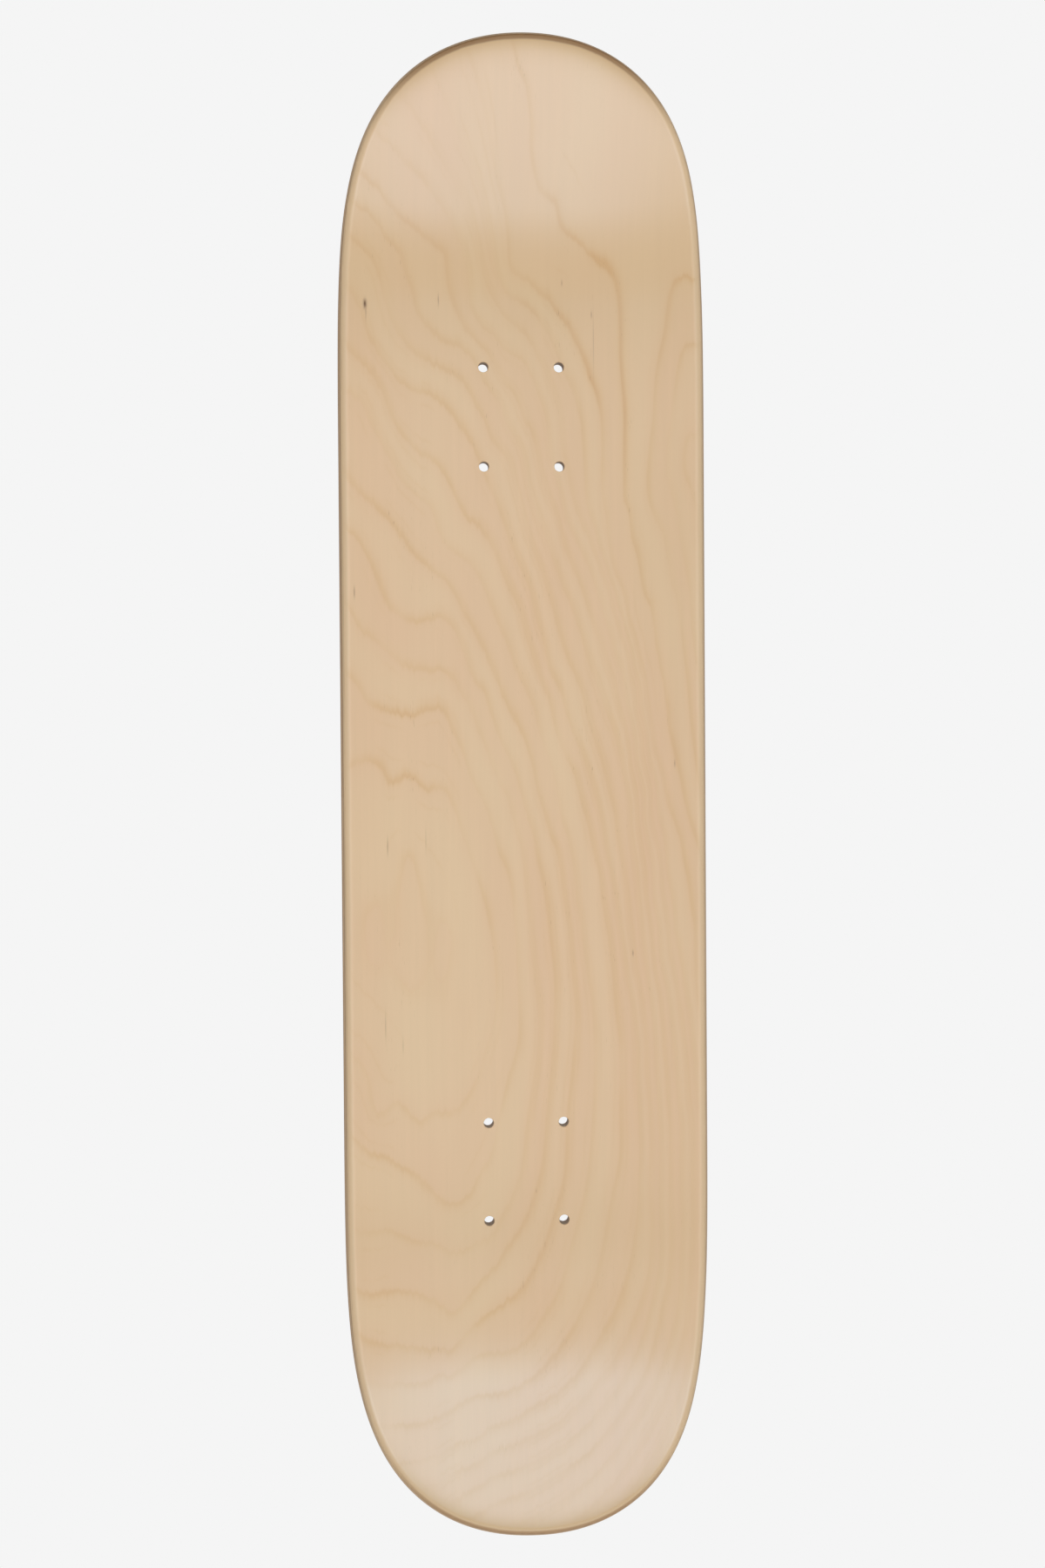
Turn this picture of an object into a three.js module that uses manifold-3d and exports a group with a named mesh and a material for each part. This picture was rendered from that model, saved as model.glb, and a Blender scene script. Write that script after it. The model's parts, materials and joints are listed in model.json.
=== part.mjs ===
// Skateboard deck: seven maple veneers pressed into one curved board, with eight holes for the truck bolts.
// Millimetres and degrees. +Y runs to the nose, +X to the right of a board seen from above, +Z is up.
// The origin lies on the underside, in the middle of the flat, halfway between the two truck patterns.

import * as THREE from 'three';
import { mergeVertices } from 'three/addons/utils/BufferGeometryUtils.js';
import Module from 'manifold-3d';

const wasm = await Module();
wasm.setup();

// Veneers and the bond line of dried glue between them
const faceThickness = 1.5;
const coreThickness = 1.5;
const crossbandThickness = 1.5;
const bondLine = 0.1;

// The blank, measured over its curved face
const blankWidth = 202.9;
const noseReach = 414.4;
const tailReach = 406;
const noseTaper = 262;
const tailTaper = 255;

// How square the ends are: a higher power keeps the full width longer, or makes the tip blunter
const noseTaperPower = 5.26;
const tailTaperPower = 4.9;
const noseTipPower = 2.06;
const tailTipPower = 2.14;

// Truck bolts: spacing across and along the board, and the length between the two inner pairs
const boltSpacingAcross = 41.275;
const boltSpacingAlong = 53.975;
const wheelbase = 359;
const boltHoleDiameter = 5.5;

// The press: kicks at both ends, and a concave whose rails rise beside a flat middle
const kickSetback = 34;
const kickRadius = 160;
const noseKickAngle = 22;
const tailKickAngle = 22;
const flatWidth = 60;
const concaveRadius = 272;
const concaveFadeLength = 120;
const kickConcaveShare = 0.5;

// Rails are rounded over along both faces
const railRoundover = 3.5;

// How finely the curves are cut into flat pieces
const taperSteps = 3;
const bendSteps = 6;
const tipSteps = 10;
const railSteps = 4;
const roundoverStepAngle = 22;
const holeSides = 12;
const flatWidthLimitShare = 0.45;
const holeOverrun = 1;

// The stack of veneers from the underside up, with the colour of each one
const faceMaple = { color: 0xd9bd98, roughness: 0.42 };
const coreMaple = { color: 0xcfae84, roughness: 0.6 };
const crossMaple = { color: 0xa98257, roughness: 0.7 };
const stack = [
  { name: 'bottom_face_veneer', thickness: faceThickness, wood: faceMaple },
  { name: 'lower_core_veneer', thickness: coreThickness, wood: coreMaple },
  { name: 'lower_crossband_veneer', thickness: crossbandThickness, wood: crossMaple },
  { name: 'centre_core_veneer', thickness: coreThickness, wood: coreMaple },
  { name: 'upper_crossband_veneer', thickness: crossbandThickness, wood: crossMaple },
  { name: 'upper_core_veneer', thickness: coreThickness, wood: coreMaple },
  { name: 'top_face_veneer', thickness: faceThickness, wood: faceMaple },
];
const gluedJoints = stack.length - 1;
const deckThickness = stack.reduce((sum, veneer) => sum + veneer.thickness, 0) + gluedJoints * bondLine;

const halfWidth = blankWidth / 2;
const flatHalf = flatWidth / 2;
const outerBolt = wheelbase / 2 + boltSpacingAlong;
const kickStart = outerBolt + kickSetback;

// Each end of the board, as the press and the saw shape it
function makeEnd(direction, reach, taper, taperPower, tipPower, kickAngle) {
  const kick = THREE.MathUtils.degToRad(kickAngle);
  const arc = kickRadius * kick;
  return { direction, reach, taper, taperPower, tipPower, kick, arc };
}
const nose = makeEnd(1, noseReach, noseTaper, noseTaperPower, noseTipPower, noseKickAngle);
const tail = makeEnd(-1, tailReach, tailTaper, tailTaperPower, tailTipPower, tailKickAngle);

// Half the width of the blank at a distance from the middle, with the outward direction of its edge there
function outlineAt(end, along) {
  const taperStart = end.reach - end.taper;
  const run = THREE.MathUtils.clamp((along - taperStart) / end.taper, 0, 1);
  const left = 1 - run ** end.taperPower;
  if (left <= 0) return { along, half: 0, outAlong: end.direction, outAcross: 0, direction: end.direction };
  const half = halfWidth * left ** (1 / end.tipPower);
  const slope = (half / left) * (end.taperPower / end.tipPower) * (run ** (end.taperPower - 1) / end.taper);
  const length = Math.hypot(1, slope);
  return {
    along,
    half,
    outAlong: (end.direction * slope) / length,
    outAcross: 1 / length,
    direction: end.direction,
  };
}

// Distances from the middle where the blank is cut across: through the taper, round the bend and to the tip
function crossingsOf(end) {
  const taperStart = end.reach - end.taper;
  const bendEnd = kickStart + end.arc;
  const distances = [];
  for (let i = 0; i < taperSteps; i++) {
    distances.push(THREE.MathUtils.lerp(taperStart, kickStart, i / taperSteps));
  }
  for (let i = 0; i < bendSteps; i++) {
    distances.push(kickStart + (end.arc * i) / bendSteps);
  }
  const first = Math.asin(THREE.MathUtils.clamp((bendEnd - taperStart) / end.taper, 0, 1));
  for (let i = 0; i < tipSteps; i++) {
    const turn = THREE.MathUtils.lerp(first, Math.PI / 2, i / tipSteps);
    distances.push(taperStart + end.taper * Math.sin(turn));
  }
  distances.sort((a, b) => a - b);
  return distances.map((along) => outlineAt(end, along));
}
const crossings = [...crossingsOf(tail).reverse(), ...crossingsOf(nose)];
const tips = { tail: outlineAt(tail, tail.reach), nose: outlineAt(nose, nose.reach) };

// The press: a point of the flat blank, at a height in its thickness, goes to its place on the curved board
function press(along, across, height) {
  const end = along < 0 ? tail : nose;
  const beyond = Math.max(Math.abs(along) - kickStart, 0);
  const turned = Math.min(beyond / kickRadius, end.kick);
  const straight = Math.max(beyond - end.arc, 0);
  const reach = Math.min(Math.abs(along), kickStart) + kickRadius * Math.sin(turned) + straight * Math.cos(turned);
  const rise = kickRadius * (1 - Math.cos(turned)) + straight * Math.sin(turned);

  const fade = THREE.MathUtils.smoothstep(beyond, 0, concaveFadeLength);
  const radius = concaveRadius / THREE.MathUtils.lerp(1, kickConcaveShare, fade);
  const outside = Math.max(Math.abs(across) - flatHalf, 0);
  const tilt = outside / radius;
  const x = Math.min(Math.abs(across), flatHalf) + radius * Math.sin(tilt) - height * Math.sin(tilt);
  const lift = radius * (1 - Math.cos(tilt)) + height * Math.cos(tilt);

  return [
    Math.sign(across) * x,
    end.direction * (reach - lift * Math.sin(turned)),
    rise + lift * Math.cos(turned),
  ];
}

// How far the roundover pulls the edge in at a height of the board, and the heights where it is cut
function edgeTurn(height) {
  const depth = THREE.MathUtils.clamp(Math.min(height, deckThickness - height), 0, railRoundover);
  return Math.acos(1 - depth / railRoundover);
}
function edgeInset(height) {
  return railRoundover * (1 - Math.sin(edgeTurn(height)));
}
function edgeHeights(low, high) {
  const upper = low + high > deckThickness;
  const from = edgeTurn(upper ? deckThickness - high : low);
  const to = edgeTurn(upper ? deckThickness - low : high);
  const steps = Math.max(Math.ceil(THREE.MathUtils.radToDeg(to - from) / roundoverStepAngle), 1);
  const heights = [upper ? deckThickness - high : low];
  for (let i = 1; i < steps; i++) {
    heights.push(railRoundover * (1 - Math.cos(THREE.MathUtils.lerp(from, to, i / steps))));
  }
  heights.push(upper ? deckThickness - low : high);
  return upper ? heights.map((height) => deckThickness - height).reverse() : heights;
}

// Places across the blank at one crossing: the flat between two lines, and the steps up each rail
function placesAcross(half) {
  const inner = Math.min(flatHalf, half * flatWidthLimitShare);
  const right = [];
  for (let i = 0; i <= railSteps; i++) right.push(THREE.MathUtils.lerp(inner, half, i / railSteps));
  return [...right.map((place) => -place).reverse(), ...right];
}

// One veneer: its two pressed faces, and the sawn and rounded edge between them
function veneerGeometry(low, high) {
  const positions = [];
  const indices = [];
  let points = 0;
  const addPoint = (along, across, height) => {
    positions.push(...press(along, across, height));
    return points++;
  };
  const addQuad = (a, b, c, d) => indices.push(a, b, c, a, c, d);

  const levels = edgeHeights(low, high).map((height) => {
    const inset = edgeInset(height);
    const rows = crossings.map((at) => {
      const along = at.direction * at.along - at.outAlong * inset;
      return placesAcross(at.half - at.outAcross * inset).map((across) => addPoint(along, across, height));
    });
    const tailTip = addPoint(-(tips.tail.along - inset), 0, height);
    const noseTip = addPoint(tips.nose.along - inset, 0, height);
    const rightSide = rows.map((row) => row.at(-1));
    const leftSide = rows.map((row) => row[0]).reverse();
    return { rows, tailTip, noseTip, rim: [tailTip, ...rightSide, noseTip, ...leftSide] };
  });

  const addFace = ({ rows, tailTip, noseTip }, facesUp) => {
    const put = (a, b, c) => (facesUp ? indices.push(a, b, c) : indices.push(a, c, b));
    for (let j = 0; j + 1 < rows[0].length; j++) {
      put(tailTip, rows[0][j + 1], rows[0][j]);
      put(noseTip, rows.at(-1)[j], rows.at(-1)[j + 1]);
      for (let i = 0; i + 1 < rows.length; i++) {
        put(rows[i][j], rows[i][j + 1], rows[i + 1][j + 1]);
        put(rows[i][j], rows[i + 1][j + 1], rows[i + 1][j]);
      }
    }
  };
  addFace(levels[0], false);
  addFace(levels.at(-1), true);
  for (let i = 0; i + 1 < levels.length; i++) {
    const lower = levels[i].rim;
    const upper = levels[i + 1].rim;
    lower.forEach((point, j) => {
      const next = (j + 1) % lower.length;
      addQuad(point, lower[next], upper[next], upper[j]);
    });
  }

  const geometry = new THREE.BufferGeometry();
  geometry.setAttribute('position', new THREE.Float32BufferAttribute(positions, 3));
  geometry.setIndex(indices);
  return geometry;
}

// Solids for drilling, and back to a mesh
function toSolid(geometry) {
  const bare = geometry.clone();
  bare.deleteAttribute('normal');
  bare.deleteAttribute('uv');
  const merged = mergeVertices(bare);
  const vertProperties = new Float32Array(merged.attributes.position.array);
  const triVerts = new Uint32Array(merged.index.array);
  return new wasm.Manifold(new wasm.Mesh({ numProp: 3, vertProperties, triVerts }));
}
function toGeometry(solid) {
  const { vertProperties, triVerts } = solid.getMesh();
  const geometry = new THREE.BufferGeometry();
  geometry.setAttribute('position', new THREE.BufferAttribute(vertProperties, 3));
  geometry.setIndex(new THREE.BufferAttribute(triVerts, 1));
  geometry.computeVertexNormals();
  return geometry;
}

// The eight drills: four bolts in each truck pattern, straight through the flat
function boltDrills(low, high) {
  const length = high - low + 2 * holeOverrun;
  const drill = new THREE.CylinderGeometry(boltHoleDiameter / 2, boltHoleDiameter / 2, length, holeSides);
  drill.rotateX(Math.PI / 2);
  const drills = [];
  for (const end of [-1, 1]) {
    for (const distance of [wheelbase / 2, outerBolt]) {
      for (const side of [-1, 1]) {
        const hole = drill.clone();
        hole.translate((side * boltSpacingAcross) / 2, end * distance, (low + high) / 2);
        drills.push(toSolid(hole));
      }
    }
  }
  return drills;
}

const deck = new THREE.Group();
deck.name = 'skateboard_deck';
let low = 0;
for (const { name, thickness, wood } of stack) {
  const high = low + thickness;
  let solid = toSolid(veneerGeometry(low, high));
  for (const drill of boltDrills(low, high)) solid = solid.subtract(drill);
  const material = new THREE.MeshStandardMaterial({ color: wood.color, roughness: wood.roughness, metalness: 0 });
  const veneer = new THREE.Mesh(toGeometry(solid), material);
  veneer.name = name;
  deck.add(veneer);
  low = high + bondLine;
}

export default deck;
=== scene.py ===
import json
import math

import bpy
import numpy as np
from bpy.props import FloatProperty, FloatVectorProperty, IntProperty, PointerProperty
from mathutils import Matrix, Vector


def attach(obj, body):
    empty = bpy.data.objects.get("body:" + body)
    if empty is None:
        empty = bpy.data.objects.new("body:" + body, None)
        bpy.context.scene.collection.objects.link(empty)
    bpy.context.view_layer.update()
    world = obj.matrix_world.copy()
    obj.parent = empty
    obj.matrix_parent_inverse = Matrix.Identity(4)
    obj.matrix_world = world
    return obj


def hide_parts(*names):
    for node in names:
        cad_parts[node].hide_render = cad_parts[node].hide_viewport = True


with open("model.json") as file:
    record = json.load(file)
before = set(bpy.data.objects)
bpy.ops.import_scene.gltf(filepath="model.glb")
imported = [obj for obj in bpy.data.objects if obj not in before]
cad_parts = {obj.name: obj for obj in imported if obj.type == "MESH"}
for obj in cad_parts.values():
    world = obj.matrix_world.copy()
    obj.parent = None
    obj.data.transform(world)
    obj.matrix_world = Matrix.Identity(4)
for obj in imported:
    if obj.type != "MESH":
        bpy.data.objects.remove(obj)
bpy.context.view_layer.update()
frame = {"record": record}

bl_info = {
    "name": "Maple Skateboard Deck",
    "version": (1, 0, 0),
    "blender": (4, 5, 0),
    "location": "View3D > Sidebar > Deck",
    "description": "Seven maple veneers pressed into a curved board, with eight holes for the truck bolts",
    "category": "Mesh",
}

BODY = "root"
MILLIMETRES = 1000.0

# What a pressed veneer keeps on its points for its material
PLACE = "blank_place"
END_GRAIN = "end_grain"
RIM_DISTANCE = "rim_distance"
YEAR = "growth_year"
YEAR_WIDTH = "growth_year_width"
YEAR_SLOPE = "growth_year_slope"
LINE_DARKNESS = "growth_line_darkness"
STAIN = "wood_stain"

# The deck's thickness comes from the frame: its grip face lies that far over its belly
MOUNTS = {mount["name"]: mount for mount in frame["record"]["mounts"]}
DECK_THICKNESS = MOUNTS["grip_face"]["pos_m"][2] - MOUNTS["belly_rest"]["pos_m"][2]

# The picture that the growth lines were drawn over: where it was taken from and towards, its lean in
# degrees, and how many of its points a metre fills at a distance of one metre
PHOTO_PLACE = (-0.095, 0.042, 1.4411)
PHOTO_AIM = (-0.0008, 0.0063, 0.0111)
PHOTO_LEAN = 0.40
PHOTO_ZOOM = 3008.5


def length(name, default, description):
    return FloatProperty(
        name=name, description=description, default=default,
        min=0.0, precision=5, unit="LENGTH", subtype="DISTANCE",
    )


def angle(name, degrees, description):
    return FloatProperty(
        name=name, description=description, default=math.radians(degrees), unit="ROTATION", subtype="ANGLE"
    )


def factor(name, default, description):
    return FloatProperty(name=name, description=description, default=default, min=0.0)


def colour(name, default, description):
    return FloatVectorProperty(
        name=name, description=description, default=default, min=0.0, max=1.0, size=3, subtype="COLOR"
    )


def count(name, default, description):
    return IntProperty(name=name, description=description, default=default, min=2)


# Sizes and colours


class DeckSizes(bpy.types.PropertyGroup):
    """Sizes of the flat blank, the press and the drill"""

    blank_width: length("Blank Width", 0.20287, "Width of the blank, measured over its curved face")
    nose_reach: length("Nose Reach", 0.41439, "From the middle of the blank to the nose tip")
    tail_reach: length("Tail Reach", 0.40599, "From the middle of the blank to the tail tip")
    nose_taper: length("Nose Taper", 0.262, "Length over which the nose narrows")
    tail_taper: length("Tail Taper", 0.255, "Length over which the tail narrows")
    nose_taper_power: factor("Nose Taper Power", 5.26, "Higher keeps the full width longer at the nose")
    tail_taper_power: factor("Tail Taper Power", 4.9, "Higher keeps the full width longer at the tail")
    nose_tip_power: factor("Nose Tip Power", 2.06, "Higher makes the nose tip blunter")
    tail_tip_power: factor("Tail Tip Power", 2.14, "Higher makes the tail tip blunter")
    deck_thickness: length("Deck Thickness", DECK_THICKNESS, "From the belly to the grip face")
    rail_roundover: length("Rail Roundover", 0.0035, "Radius along both edges of the rails")
    bolt_spacing_across: length("Bolt Spacing Across", 0.041275, "Between the two bolts of a pair")
    bolt_spacing_along: length("Bolt Spacing Along", 0.053975, "Between the two pairs of a truck")
    wheelbase: length("Wheelbase", 0.359, "Between the inner bolts of the two trucks")
    bolt_hole_diameter: length("Bolt Hole Diameter", 0.0055, "Diameter of the drill")
    hole_easing: length("Hole Easing", 0.00025, "Sanded edge of each hole")
    kick_setback: length("Kick Setback", 0.034, "From the outer bolts to the start of the kick")
    kick_radius: length("Kick Radius", 0.160, "Radius of the bend, at the belly")
    nose_kick: angle("Nose Kick", 22.0, "How far the nose is bent up")
    tail_kick: angle("Tail Kick", 22.0, "How far the tail is bent up")
    flat_width: length("Flat Width", 0.060, "Width of the flat in the middle of the board")
    concave_radius: length("Concave Radius", 0.272, "Radius of the curve that lifts each rail")
    concave_fade: length("Concave Fade", 0.120, "Length over which the concave eases off in a kick")
    kick_concave: factor("Kick Concave", 0.5, "Share of the concave that is left in a kick")


class DeckMesh(bpy.types.PropertyGroup):
    """How finely each veneer is divided"""

    face_columns: count("Face Columns", 72, "Steps across a face veneer")
    inner_columns: count("Inner Columns", 30, "Steps across a veneer that only shows its edge")
    edge_rows: count("Edge Rows", 6, "Steps down the edge of a veneer")
    stations: count("Stations", 340, "Steps from tail to nose of a face veneer")
    inner_stations: count("Inner Stations", 240, "Steps from tail to nose of an inner veneer")
    drill_sides: count("Drill Sides", 48, "Sides of each bolt hole")


class MapleColours(bpy.types.PropertyGroup):
    """Colours of the maple and its figure"""

    pale: colour("Pale Maple", (0.658, 0.431, 0.240), "Yellowish bands of the face veneers")
    pink: colour("Pinkish Maple", (0.646, 0.386, 0.217), "Pinkish bands of the face veneers")
    line: colour("Growth Line", (0.580, 0.316, 0.137), "Late wood of each year")
    edge: colour("Sanded Edge", (0.572, 0.368, 0.200), "Rounded edge of the face veneers")
    core: colour("Core Maple", (0.54, 0.352, 0.190), "Edge of a long-grain core veneer")
    crossband: colour("End Grain", (0.228, 0.098, 0.025), "Where the fibres are cut across")
    # The rubbed colour lays a pale line along the rim, partly sanded wood and partly a painted highlight,
    # and painted light on the sides of the rails
    rubbed: colour("Rubbed Line", (0.80, 0.580, 0.370), "Where sanding the edge has rubbed the face pale")
    # The kick border colour is laid for the browner stains, and as painted shade over the bends of the kicks
    # and round the rims of the two tips
    border: colour("Kick Border", (0.50, 0.294, 0.120), "Browner wood along the rim of the two tips")
    fleck: colour("Fleck", (0.11, 0.038, 0.008), "Small dark flecks in the grain")


class StageSettings(bpy.types.PropertyGroup):
    """Camera, floor and lights"""

    camera_place: FloatVectorProperty(
        name="Camera Place", description="Where the camera stands", default=PHOTO_PLACE, unit="LENGTH"
    )
    camera_aim: FloatVectorProperty(
        name="Camera Aim", description="Point in the middle of the picture", default=PHOTO_AIM, unit="LENGTH"
    )
    camera_roll: angle("Camera Roll", PHOTO_LEAN, "Lean of the board's length in the picture")
    lens: FloatProperty(name="Lens", description="Focal length in millimetres", default=60.17, min=1.0)
    floor_colour: colour("Floor", (0.913, 0.913, 0.913), "Plain pale floor")
    floor_size: length("Floor Size", 8.0, "Side of the floor")


# Node trees


class Term:
    """A value in a node tree: the signs of Python put in the Math nodes that work it out"""

    def __init__(self, tree, socket):
        self.tree = tree
        self.socket = socket

    def __add__(self, other):
        return calc("ADD", self, other)

    def __radd__(self, other):
        return calc("ADD", other, self)

    def __sub__(self, other):
        return calc("SUBTRACT", self, other)

    def __rsub__(self, other):
        return calc("SUBTRACT", other, self)

    def __mul__(self, other):
        return calc("MULTIPLY", self, other)

    def __rmul__(self, other):
        return calc("MULTIPLY", other, self)

    def __truediv__(self, other):
        return calc("DIVIDE", self, other)

    def __rtruediv__(self, other):
        return calc("DIVIDE", other, self)

    def __pow__(self, other):
        return calc("POWER", self, other)


def add(tree, kind, inputs=None, **settings):
    """Adds a node with its options, and sets or links the inputs that are named"""
    node = tree.nodes.new(kind)
    for name, value in settings.items():
        setattr(node, name, value)
    for name, value in (inputs or {}).items():
        plug(tree, value, node.inputs[name])
    return node


def plug(tree, value, socket):
    """Links what another node works out to a socket, or sets the socket to a plain number or colour"""
    if isinstance(value, Term):
        value = value.socket
    if isinstance(value, bpy.types.NodeSocket):
        tree.links.new(value, socket)
    elif socket.type == "RGBA":
        socket.default_value = (*value, 1.0)
    else:
        socket.default_value = value


def calc(operation, *values):
    tree = next(value.tree for value in values if isinstance(value, Term))
    node = add(tree, "ShaderNodeMath", dict(enumerate(values)), operation=operation)
    return Term(tree, node.outputs[0])


def clamp(value, low=0.0, high=1.0):
    return calc("MINIMUM", calc("MAXIMUM", value, low), high)


def blend(start, end, share):
    return start + (end - start) * share


def fall_off(value):
    """One where the value is nothing, and dying away as it grows"""
    return calc("EXPONENT", -1.0 * value)


def ramp(value, low, high, start=0.0, end=1.0):
    """A soft step from one value to another, while the given value goes from low to high"""
    tree = value.tree
    places = {"Value": value, "From Min": low, "From Max": high, "To Min": start, "To Max": end}
    return Term(tree, add(tree, "ShaderNodeMapRange", places, interpolation_type="SMOOTHSTEP").outputs[0])


def soft_span(value, begin, full, leave, end):
    """One between full and leave, and nothing before begin and after end"""
    return ramp(value, begin, full) * (1.0 - ramp(value, leave, end))


def split(vector):
    node = add(vector.tree, "ShaderNodeSeparateXYZ", {0: vector})
    return [Term(vector.tree, socket) for socket in node.outputs]


def join(tree, x, y, z):
    return Term(tree, add(tree, "ShaderNodeCombineXYZ", {0: x, 1: y, 2: z}).outputs[0])


NODE_SPACING = (220, 190)


def lay_out(tree):
    """Puts each node to the right of the nodes that feed it"""
    depth = {node.name: 0 for node in tree.nodes}
    for _ in range(len(tree.nodes)):
        changed = False
        for link in tree.links:
            if depth[link.to_node.name] <= depth[link.from_node.name]:
                depth[link.to_node.name] = depth[link.from_node.name] + 1
                changed = True
        if not changed:
            break
    rows = {}
    for node in tree.nodes:
        column = depth[node.name]
        rows[column] = rows.get(column, 0) + 1
        node.location = (NODE_SPACING[0] * column, -NODE_SPACING[1] * rows[column])


SOCKETS = {"INT": "NodeSocketInt", "FLOAT": "NodeSocketFloat"}


def take_sizes(tree, *groups):
    """Gives a tree one named input for each size of the property groups"""
    names = {}
    for group in groups:
        for prop in type(group).bl_rna.properties:
            if prop.type in SOCKETS:
                kind = SOCKETS[prop.type]
                socket = tree.interface.new_socket(prop.name, in_out="INPUT", socket_type=kind)
                socket.default_value = getattr(group, prop.identifier)
                names[prop.identifier] = prop.name
    return names


# The veneer as a rule: a flat blank, drilled and then pressed


def mesh_term(tree, kind, output, inputs=None, **settings):
    return Term(tree, add(tree, kind, inputs, **settings).outputs[output])


def moved(tree, geometry, place):
    return mesh_term(tree, "GeometryNodeSetPosition", 0, {"Geometry": geometry, "Position": place})


def position(tree):
    return split(mesh_term(tree, "GeometryNodeInputPosition", 0))


def tip_shape(size, at_nose):
    """The reach, taper, taper power and tip power of the outline, at the nose or at the tail"""
    names = ("reach", "taper", "taper_power", "tip_power")
    return [blend(size[f"tail_{name}"], size[f"nose_{name}"], at_nose) for name in names]


def outline_slope(run, share, half_width, taper, taper_power, tip_power):
    """How fast the rule of the outline changes along the board and across it, and both together"""
    along = taper_power * run ** (taper_power - 1.0) / taper
    across = tip_power * share ** (tip_power - 1.0) / half_width
    return along, across, calc("SQRT", along * along + across * across)


def blank_points(tree, size, veneer):
    """Where each point of a unit grid goes on the flat blank, and how far the outline faces along the board
    there: the columns wind once round the veneer, and the rows go from tail to nose"""
    unit_x, unit_y, _ = position(tree)
    face = size["face_columns"]
    edge = size["edge_rows"]
    column = calc("ROUND", (unit_x + 0.5) * (2.0 * (face + edge)))
    across_share = clamp(column / face) - clamp((column - face - edge) / face)
    down_share = clamp((column - face) / edge) - clamp((column - 2.0 * face - edge) / edge)
    down = 1.0 - (1.0 - down_share ** veneer["Top Crowding"]) ** veneer["Bottom Crowding"]
    height = blend(veneer["Veneer Top"], veneer["Veneer Bottom"], down)

    radius = size["rail_roundover"]
    depth = clamp(calc("MINIMUM", height, size["deck_thickness"] - height), 0.0, radius)
    inset = radius * (1.0 - calc("SINE", calc("ARCCOSINE", 1.0 - depth / radius)))

    station = calc("ROUND", (unit_y + 0.5) * size["stations"]) / size["stations"] * 2.0 - 1.0
    direction = calc("SIGN", station)
    reach, taper, taper_power, tip_power = tip_shape(size, calc("GREATER_THAN", station, 0.0))
    to_tip = reach * (1.0 - calc("SINE", calc("ABSOLUTE", station) * (math.pi / 2.0)))
    run = clamp(1.0 - to_tip / taper)
    half_width = size["blank_width"] / 2.0
    share = (1.0 - run ** taper_power) ** (1.0 / tip_power)
    slope_along, slope_across, slope = outline_slope(run, share, half_width, taper, taper_power, tip_power)
    along = reach - to_tip - inset * slope_along / slope
    half = half_width * share - inset * slope_across / slope
    return join(tree, (across_share * 2.0 - 1.0) * half, direction * along, height), slope_along / slope


def rim_distance(tree, size):
    """How far each point of the flat blank lies inside its outline"""
    across, along, _ = position(tree)
    reach, taper, taper_power, tip_power = tip_shape(size, calc("GREATER_THAN", along, 0.0))
    half_width = size["blank_width"] / 2.0
    run = clamp(1.0 - (reach - calc("ABSOLUTE", along)) / taper)
    side = calc("ABSOLUTE", across) / half_width
    inside = 1.0 - run ** taper_power - side ** tip_power
    _, _, slope = outline_slope(run, side, half_width, taper, taper_power, tip_power)
    return calc("MAXIMUM", inside / calc("MAXIMUM", slope, 1.0), 0.0)


# The drill widens into a cone that is this many easings high, and starts one easing inside the wood
DRILL_CONE = 3.0


def drills(tree, size):
    """Eight drills with a cone at each end for the sanded edge, on the corners of the two bolt patterns"""
    unit_x, unit_y, unit_z = position(tree)
    middle = size["deck_thickness"] / 2.0
    easing = size["hole_easing"]
    outside = calc("GREATER_THAN", calc("ABSOLUTE", unit_z), 0.5)
    radius = size["bolt_hole_diameter"] / 2.0 + outside * easing * DRILL_CONE
    reach = middle + easing * (outside * DRILL_CONE - 1.0)
    cylinder = {"Vertices": size["drill_sides"], "Side Segments": 3, "Radius": 1.0, "Depth": 2.0}
    drill = mesh_term(tree, "GeometryNodeMeshCylinder", "Mesh", cylinder)
    height = middle + calc("SIGN", unit_z) * reach
    drill = moved(tree, drill, join(tree, unit_x * radius, unit_y * radius, height))

    corners = {"Size X": size["bolt_spacing_across"], "Size Y": size["bolt_spacing_along"]}
    pattern = mesh_term(tree, "GeometryNodeMeshGrid", "Mesh", {**corners, "Vertices X": 2, "Vertices Y": 2})
    patterns = add(tree, "GeometryNodeJoinGeometry")
    for direction in (1.0, -1.0):
        truck = join(tree, 0.0, direction * (size["wheelbase"] + size["bolt_spacing_along"]) / 2.0, 0.0)
        placed = mesh_term(tree, "GeometryNodeTransform", 0, {"Geometry": pattern, "Translation": truck})
        plug(tree, placed, patterns.inputs[0])
    points = {"Points": patterns.outputs[0], "Instance": drill}
    return mesh_term(tree, "GeometryNodeInstanceOnPoints", 0, points)


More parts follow.
